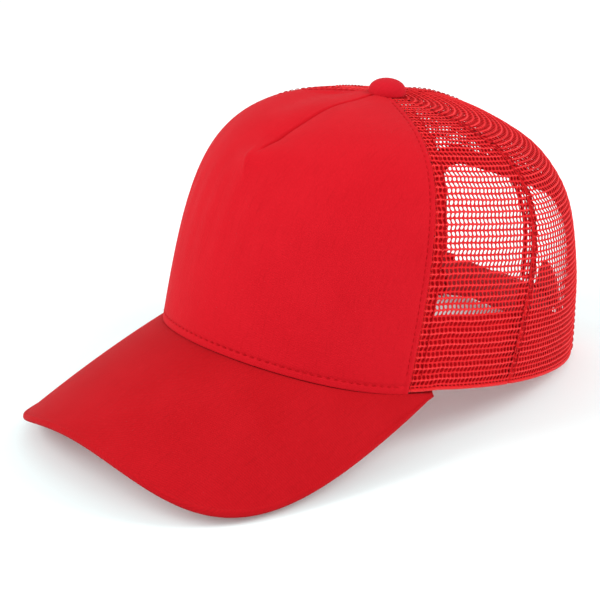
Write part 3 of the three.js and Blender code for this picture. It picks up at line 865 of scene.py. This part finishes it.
# ---- rear opening: a folded binding round its edge ----
def opening_path(offset, count=64):
    """The opening's outline, this far outside it: up the wearer's left, over, and down."""
    half, top = OPENING_HALF_WIDTH + offset, OPENING_HEIGHT + offset
    corner = OPENING_CORNER + offset
    straight = np.linspace(0.45, top - corner, 26)
    turn = np.linspace(0, math.pi / 2, count // 2)
    over = np.linspace(half - corner, -(half - corner), 18)
    x = np.concatenate([np.full(26, half), half - corner + corner * np.cos(turn[1:]), over[1:-1],
                        -(half - corner) - corner * np.sin(turn[:-1]), np.full(26, -half)])
    z = np.concatenate([straight, top - corner + corner * np.sin(turn[1:]),
                        np.full(len(over) - 2, top), top - corner + corner * np.cos(turn[:-1]),
                        straight[::-1]])
    return x, z


def add_binding():
    section = [(0.0, 0.55), (0.08, 0.05), (0.35, -0.32), (0.9, -0.5), (2.2, -0.5), (4.0, -0.46),
               (6.0, -0.46), (7.2, -0.42), (7.75, -0.22), (8.0, 0.15), (8.0, 1.2), (7.8, 1.6),
               (7.2, 1.8), (5.0, 1.85), (2.5, 1.85), (0.9, 1.8), (0.35, 1.6), (0.08, 1.2)]
    rings, weave, run = [], [], None
    for offset, depth in section:
        angle, t = back_at(*opening_path(offset))
        if run is None:
            run = run_along(crown_point(angle, t))
        pucker = 0.07 * np.sin(run * 1.9) * (1 if 1 < offset < 7.5 else 0)
        rings.append(crown_inside(angle, t, depth + pucker))
        weave.append(np.stack([np.full(len(run), offset + 10 * depth), run,
                               np.zeros(len(run))], axis=-1))
    points, faces = sweep(np.stack(rings, axis=1))
    add_piece("rear_opening_binding", points, faces, TAPE_CLOTH, "opening_binding",
              np.stack(weave, axis=1))
    for name, offset in (("inner", 1.3), ("outer", 6.7)):
        line = back_at(*opening_path(offset))
        stitch_row(f"binding_{name}_stitches", *line, -0.5, "seam_tape")
        stitch_row(f"binding_{name}_stitches_inside", *line, 1.86, "seam_tape", inside=True)


# ---- sweatband ----
def band_angle(share, t_height):
    """Angle along the sweatband, from its right end (0) to its left end (1) at this height."""
    start = np.full(np.shape(t_height), math.pi - 0.5)
    for _ in range(8):
        t = level_at(start, t_height)
        start = math.pi - np.arcsin(np.clip(
            (OPENING_HALF_WIDTH + 0.6) / (RIM_HALF_WIDTH * spread(start, t)), -0.99, 0.99))
    return (2 * share - 1) * start


def band_rise(rise, angle):
    """A height on the full-height band, brought down where the band is lower."""
    drop = SWEATBAND_END_DROP * smooth_step(np.abs(angle), *SWEATBAND_DROP_ANGLES)
    share = np.clip((rise - 4) / (SWEATBAND_HEIGHT - 4), 0, 1)
    return rise - drop * share


def add_sweatband():
    height = SWEATBAND_HEIGHT
    # Its height, and its depth at the sides and over the visor, round the folded strip.
    section = [(0.5, 1.5, 3.3), (0.25, 2.6, 3.6), (0.35, 4.6, 4.6), (1.4, 5.4, 5.4),
               (4.0, 5.5, 5.5), (9.0, 5.9, 5.9), (16.0, 6.1, 6.1), (23.0, 5.9, 5.9),
               (28.5, 5.3, 5.3), (29.8, 5.05, 5.05), (31.0, 5.3, 5.3), (32.5, 5.0, 5.0),
               (height, 4.3, 4.3), (height - 0.3, 3.6, 3.6), (height - 1.5, 3.3, 3.3),
               (20.0, 3.3, 3.3), (8.0, 3.3, 3.3), (3.2, 3.3, 3.35), (2.4, 2.9, 3.35),
               (1.6, 1.6, 3.3)]
    share = np.linspace(0, 1, 260)
    rings, weave = [], []
    for full_rise, depth_side, depth_front in section:
        angle = band_angle(share, band_rise(full_rise, math.pi))
        rise = band_rise(full_rise, angle)
        at_front = 1 - smooth_step(np.abs(angle), VISOR_END - 0.06, VISOR_END + 0.06)
        depth = depth_side + (depth_front - depth_side) * at_front
        soft = 0.18 * np.sin(share * 95) * math.sin(math.pi * min(full_rise / height, 1)) \
            * (1 if depth_side > 5 else 0)
        rings.append(crown_inside(angle, level_at(angle, rise), depth + soft))
        weave.append(np.stack([share * BAND_RUN, rise + depth_side * 3,
                               np.zeros(len(share))], axis=-1))
    points, faces = sweep(np.stack(rings, axis=1))
    band = add_piece("sweatband_cloth", points, faces, BAND_CLOTH, "sweatband",
                     np.stack(weave, axis=1))
    share = np.linspace(0.004, 0.996, 500)
    for name, rise, depth in (("top", 29.8, 5.06), ("foot", 2.6, 5.46)):
        angle = band_angle(share, band_rise(rise, math.pi))
        stitch_row(f"sweatband_{name}_stitches", angle, level_at(angle, band_rise(rise, angle)),
                   depth, "sweatband", inside=True)


# ---- visor ----
def visor_frame(u):
    """Along the visor: its inner and outer edges, the way out, the rim, and how thick it is."""
    s = (2 * u - 1) * VISOR_END_TRIM
    angle = VISOR_END * s
    inner = crown_inside(angle, 0.0, VISOR_TUCK)
    half = visor_plan(1 - np.abs(s))
    sign = np.where(s < 0, -1.0, 1.0)
    outer = np.stack([sign * half[..., 0], half[..., 1]], axis=-1)
    ahead = np.gradient(outer, axis=0)
    out = np.stack([ahead[..., 1], -ahead[..., 0]], axis=-1)
    out /= np.linalg.norm(out, axis=-1, keepdims=True)
    outward = np.sum(out * (outer - inner[..., :2]), axis=-1, keepdims=True)
    thin = VISOR_END_SHARE + (1 - VISOR_END_SHARE) * smooth_step(1 - np.abs(s), 0, 0.08)
    return inner, outer, out * np.where(outward < 0, -1, 1), rim_height(angle), thin


def visor_surface(x, y, inner, rim):
    """Height of the visor's top at a plan position, tucked in level with the rim."""
    out = np.hypot(x - inner[..., 0], y - inner[..., 1])
    tucked = np.maximum(0, 1 - out / VISOR_TUCK_REACH)
    drop = (visor_height(inner[..., 0], inner[..., 1]) - rim) * tucked
    return visor_height(x, y) - drop


def visor_skin(u, across, roll, radius, drop, sign=1, inset=VISOR_THICKNESS / 2):
    """A grid over the visor: across it, then round its edge by the roll angles."""
    inner, outer, out, rim, thin = visor_frame(u)
    edge = outer - out * inset * thin[:, None]
    grid = []
    for w in across:
        plan = inner[:, :2] + (edge - inner[:, :2]) * w
        z = visor_surface(plan[:, 0], plan[:, 1], inner, rim) - drop * thin
        grid.append(np.column_stack([plan, z]))
    middle = visor_surface(edge[:, 0], edge[:, 1], inner, rim) - VISOR_THICKNESS / 2 * thin
    for turn in roll:
        along, up = (math.copysign(abs(f) ** EDGE_SQUARENESS, f)
                     for f in (math.cos(turn), math.sin(turn)))
        grid.append(np.column_stack([edge + out * (radius * along * thin)[:, None],
                                     middle + sign * radius * up * thin]))
    return np.stack(grid, axis=1)


def add_visor():
    u = np.concatenate([np.linspace(0, 0.02, 5)[:-1], np.linspace(0.02, 0.98, 180),
                        np.linspace(0.98, 1, 5)[1:]])
    across = np.linspace(0, 1, 40)[:-1]
    half, wall, gap = VISOR_THICKNESS / 2, 0.62, 0.3
    quarter = math.pi / 2
    top_roll = np.concatenate([np.linspace(quarter, -0.55, 14), [-0.62]])
    outer = visor_skin(u, across, top_roll, half, 0.0)
    inner = visor_skin(u, across, top_roll, half - wall, wall)
    outer[:, -1] = outer[:, -1] * 0.6 + inner[:, -1] * 0.4
    points, faces = shell(outer, inner)
    # The twill runs straight over the whole visor, and its length round the edge is added.
    wrapped = np.concatenate([np.zeros(len(across)), (quarter - top_roll) * half])
    add_piece("visor_top_cloth", points, faces, VISOR_CLOTH, "visor_top_cover",
              both(outer[..., 0], outer[..., 1] + wrapped))
    low_roll = np.linspace(quarter, 0.74, 7)
    outer = visor_skin(u, across, low_roll, half, VISOR_THICKNESS, -1)
    inner = visor_skin(u, across, low_roll, half - wall, VISOR_THICKNESS - wall, -1)
    points, faces = shell(outer, inner)
    add_piece("visor_under_cloth", points, faces, VISOR_CLOTH,
              "visor_under_cover", both(outer[..., 0], outer[..., 1]))
    inset = half + 2 * gap
    above = visor_skin(u, across, np.linspace(quarter, -quarter, 9), half - wall - gap,
                       wall + gap, 1, inset)
    below = visor_skin(u, across, [], 0, VISOR_THICKNESS - wall - gap, 1, inset)
    points, faces = sweep(np.concatenate([above, below[:, ::-1]], axis=1))
    add_piece("visor_stiffener", points, faces, BOARD, "visor_board", points)


# ---- button ----
def lathe(profile, around=64):
    """Vertices and faces of a turned solid; the profile is (radius, height), from pole to pole."""
    turn = np.arange(around) * 2 * math.pi / around
    verts = [(0.0, 0.0, profile[0][1])]
    for radius, height in profile[1:-1]:
        verts += [(radius * math.cos(a), radius * math.sin(a), height) for a in turn]
    verts.append((0.0, 0.0, profile[-1][1]))
    last = len(verts) - 1

    def ring(k):
        return 1 + (k - 1) * around + np.arange(around)

    faces = [(0, *p) for p in zip(np.roll(ring(1), -1), ring(1))]
    for k in range(1, len(profile) - 2):
        a, b = ring(k), ring(k + 1)
        faces += list(zip(a, np.roll(a, -1), np.roll(b, -1), b))
    tail = ring(len(profile) - 2)
    faces += [(last, *p) for p in zip(tail, np.roll(tail, -1))]
    return np.array(verts), faces


def add_turned(name, node, profile, material, relief=None):
    verts, faces = lathe(profile)
    if relief is not None:
        verts = relief(verts)
    x, y, z = verts.T
    add_piece(name, seat_point(x, y, z), faces, material, node,
              np.column_stack([x, y + z, np.zeros(len(z))]))


def dome(thinner, steps=14):
    """The button's dome from its rim to its pole, this much inside its outer face."""
    radius, height = BUTTON_RADIUS - thinner, BUTTON_HEIGHT - thinner
    angles = np.linspace(0, math.pi / 2, steps)
    return [(radius * math.cos(a), height * math.sin(a) ** 0.85) for a in angles]


def dome_shell(outside, inside, hem=()):
    """A cup's profile: up its inner face, round its hem, and up its outer face."""
    return [(0, inside[-1][1])] + inside[-2::-1] + list(hem) + outside[:-1] + [(0, outside[-1][1])]


def add_button():
    def pleats(verts):
        radius = np.hypot(verts[:, 0], verts[:, 1])
        turn = np.arctan2(verts[:, 1], verts[:, 0])
        low = bell(verts[:, 2], 0.2, 0.9) * smooth_step(radius, 5, 7.5)
        factor = 1 + 0.012 * np.sin(turn * 22) * low + 0.006 * np.sin(turn * 9 + 1) * low
        verts = verts.copy()
        verts[:, :2] *= factor[:, None]
        return verts

    hem = [(BUTTON_RADIUS - 0.6, -0.7), (BUTTON_RADIUS - 0.35, -0.95), (BUTTON_RADIUS - 0.1, -0.75)]
    add_turned("button_cloth_cover", "button_cover", dome_shell(dome(0), dome(0.6), hem),
               BUTTON_CLOTH, pleats)
    add_turned("button_metal_shell", "button_shell", dome_shell(dome(0.9, 10), dome(1.5, 10)),
               STEEL)
    profile = [(0, -5.15), (3.0, -5.1), (6.0, -4.85), (6.4, -4.65), (6.5, -4.45), (6.3, -4.25),
               (2.4, -4.2), (1.8, -4.1), (1.6, -3.8), (1.6, 1.3), (1.4, 1.8), (0, 2.2)]
    add_turned("button_metal_rivet", "button_rivet", profile, STEEL)


# ---- closing strap ----
TIP_CORNER = STRAP_HEIGHT / 2 - 2
STRAP_MIDDLE = STRAP_FOOT + STRAP_HEIGHT / 2
STRAP_TOP = STRAP_FOOT + STRAP_HEIGHT
STUD_PROFILE = [
    (0, -0.5), (1.2, -0.5), (STUD_RADIUS - 0.25, -0.45), (STUD_RADIUS - 0.22, 0.0),
    (STUD_RADIUS - 0.28, 0.5), (STUD_RADIUS - 0.05, 0.95), (STUD_RADIUS, 1.35),
    (STUD_RADIUS - 0.2, 1.75), (STUD_RADIUS - 0.7, 2.02), (0.8, STUD_HEIGHT),
    (0, STUD_HEIGHT - 0.1)]


def strap_outline(root_x, end_x, side):
    """The tongue's outline in its own plane: a flare beside the left root, a round free end."""
    xs = np.linspace(root_x, end_x, 90)
    turn = np.linspace(0, math.pi / 2, 14)
    straight = xs[np.abs(end_x - xs) > TIP_CORNER + 0.5]
    top = np.full(len(straight), float(STRAP_TOP))
    if side > 0:
        top += ((FLARE_HEIGHT - STRAP_TOP) * smooth_step(straight, FLARE_START, FLARE_PEAK)
                - (FLARE_HEIGHT - FLARE_ROOT_HEIGHT)
                * smooth_step(straight, FLARE_PEAK, STRAP_ROOT_X))
    x = np.concatenate([straight, end_x + side * TIP_CORNER - side * TIP_CORNER * np.sin(turn)])
    upper = np.concatenate([top, STRAP_TOP - TIP_CORNER + TIP_CORNER * np.cos(turn)])
    lower = np.concatenate([np.full(len(straight), float(STRAP_FOOT)),
                            STRAP_FOOT + TIP_CORNER - TIP_CORNER * np.cos(turn)])
    return np.column_stack([np.concatenate([x, x[::-1]]), np.concatenate([upper, lower[::-1]])])


def strap_bulge(x):
    return STRAP_BULGE * smooth_step(STRAP_ROOT_X - np.abs(x), 0, STRAP_BEND)


def clear_of(holes, x, z, distance):
    return all(math.hypot(x - hole, z - STRAP_MIDDLE) > distance for hole in holes)


def point_inside(x, z, outline):
    inside = False
    for (ax, az), (bx, bz) in zip(outline, np.roll(outline, -1, axis=0)):
        if (az > z) != (bz > z) and x < (bx - ax) * (z - az) / (bz - az) + ax:
            inside = not inside
    return inside


def filling_points(outline, root_x, end_x, side, holes):
    """Points inside the tongue, so that its triangles are small enough to bend."""
    tops = outline[: len(outline) // 2]
    tops = tops[np.argsort(tops[:, 0])]
    for x in np.linspace(min(root_x, end_x) + 1.5, max(root_x, end_x) - 1.5, 44):
        top = np.interp(x, tops[:, 0], tops[:, 1])
        past = max((end_x + side * TIP_CORNER - x) * side, 0)
        rounded = TIP_CORNER - math.sqrt(max(TIP_CORNER ** 2 - past ** 2, 0))
        for z in np.linspace(STRAP_FOOT + 1.4, top - 1.4, 7):
            if (STRAP_FOOT + rounded + 0.8 < z < top - rounded - 0.8
                    and clear_of(holes, x, z, HOLE_RADIUS + 0.7)):
                yield Vector((x, z))


def add_tongue(name, node, body, root_x, end_x, offset, holes=(), studs=()):
    side = 1 if root_x > end_x else -1
    outline = strap_outline(root_x, end_x, side)
    circle = np.arange(28) * 2 * math.pi / 28
    loops = [outline] + [
        [(x + HOLE_RADIUS * math.cos(a), STRAP_MIDDLE + HOLE_RADIUS * math.sin(a)) for a in circle]
        for x in holes]
    corners, edges = [], []
    for loop in loops:
        first = len(corners)
        corners += [Vector(p) for p in loop]
        edges += [(first + k, first + (k + 1) % len(loop)) for k in range(len(loop))]
    corners += filling_points(outline, root_x, end_x, side, holes)
    flat, _, tris, *_ = delaunay_2d_cdt(corners, edges, [], 0, 1e-5)
    flat = np.array([tuple(v) for v in flat])

    def kept(tri):
        x, z = flat[list(tri)].mean(axis=0)
        return clear_of(holes, x, z, HOLE_RADIUS * 0.98) and point_inside(x, z, outline)

    tris = [t for t in tris if kept(t)]
    count = len(flat)
    outer = np.column_stack([flat[:, 0], strap_bulge(flat[:, 0]) + offset, flat[:, 1]])
    points = np.concatenate([outer, outer - np.array([0, STRAP_THICKNESS, 0])])
    faces = [tuple(t) for t in tris] + [tuple(i + count for i in t[::-1]) for t in tris]
    sides = dict.fromkeys((t[k], t[(k + 1) % 3]) for t in tris for k in range(3))
    faces += [(b, a, a + count, b + count) for a, b in sides if (b, a) not in sides]
    x, y, z = points.T
    piece = add_piece(name, strap_point(x, y, z), faces, STRAP_PLASTIC, node,
                      np.column_stack([x, z, y]), body)
    soften(piece, 0.28)
    for number, x in enumerate(studs):
        verts, faces = lathe(STUD_PROFILE, 28)
        points = strap_point(x + verts[:, 0], float(strap_bulge(x)) + verts[:, 2],
                             STRAP_MIDDLE + verts[:, 1])
        stud = add_piece(f"{name}_stud_{number + 1}", points, faces, STRAP_PLASTIC,
                         None, verts, body)
        stud.parent = piece
        stud.matrix_parent_inverse.identity()


def soften(piece, width):
    """Round a piece's sharp edges, by this many millimetres."""
    bevel = piece.modifiers.new("soft_edges", "BEVEL")
    bevel.width = width / 1000
    bevel.segments = 2
    bevel.limit_method = "ANGLE"
    bevel.angle_limit = math.radians(50)
    bevel.harden_normals = True


def add_straps():
    holes = [HOLE_FIRST + STUD_PITCH * k for k in range(HOLE_COUNT)]
    studs = [STUD_FIRST + STUD_PITCH * k for k in range(STUD_COUNT)]
    add_tongue("strap_with_holes", "hole_strap", "hole_tongue", STRAP_ROOT_X, HOLE_STRAP_END,
               STRAP_THICKNESS + 0.3, holes=holes)
    add_tongue("strap_with_studs", "stud_strap", "stud_tongue", -STRAP_ROOT_X, STUD_STRAP_END,
               0.0, studs=studs)
    span = (STRAP_ROOT_LENGTH + 3) / RIM_BACK
    edge = math.asin((STRAP_ROOT_X + 0.6) / RIM_HALF_WIDTH)
    share = np.linspace(0, 1, 24)
    for side, sign, height in (("left", 1, FLARE_ROOT_HEIGHT), ("right", -1, STRAP_HEIGHT + 4)):
        u, v = np.meshgrid(share if sign < 0 else 1 - share, share, indexing="ij")
        angle = sign * (math.pi - edge - span * u)
        foot, top = level_at(angle, STRAP_FOOT), level_at(angle, height)
        t = foot + (top - foot) * v
        soften(add_crown_sheet(f"{side}_strap_sewn_end", angle, t, (1.8, 2.9), STRAP_PLASTIC,
                               f"{side}_strap_root", (u * 16, v * height),
                               outward=True), 0.25)


# ---- stage ----
def add_stage():
    corners = [(-1, -1), (1, -1), (1, 1), (-1, 1)]
    mesh = bpy.data.meshes.new("floor")
    mesh.from_pydata([(x * FLOOR_REACH, y * FLOOR_REACH, 0) for x, y in corners], [],
                     [(0, 1, 2, 3)])
    mesh.materials.append(Surface(
        "floor_paper", Roughness=0.9, Specular_IOR_Level=0.1, Base_Color=(0.80, 0.92, 0.92),
        Emission_Color=(1, 1, 1), Emission_Strength=0.09).material)
    add_object("floor", mesh)
    world = bpy.data.worlds.new("studio")
    world.use_nodes = True
    sky = world.node_tree.nodes["Background"].inputs
    sky["Color"].default_value, sky["Strength"].default_value = (1, 1, 1, 1), SKY_STRENGTH
    bpy.context.scene.world = world
    for name, (place, power) in LAMPS.items():
        lamp = bpy.data.lights.new(name, "AREA")
        lamp.shape, lamp.size, lamp.energy = "DISK", LAMP_SIZE, power
        stand = add_object(name, lamp)
        stand.location = place
        stand.rotation_euler = (LAMP_AIM - Vector(place)).to_track_quat("-Z", "Y").to_euler()


def add_camera():
    data = bpy.data.cameras.new("camera")
    data.sensor_width, data.lens = 36, CAMERA_LENS
    data.clip_start, data.clip_end = 0.05, 20
    camera = add_object("camera", data)
    camera.location = CAMERA_PLACE
    camera.rotation_euler = [math.radians(a) for a in CAMERA_TURN]
    bpy.context.scene.camera = camera
    bpy.context.scene.view_settings.view_transform = "Standard"


add_front_panel()
add_front_backing()
add_nets()
add_tapes()
add_binding()
add_sweatband()
add_visor()
add_button()
add_straps()
add_stage()
add_camera()
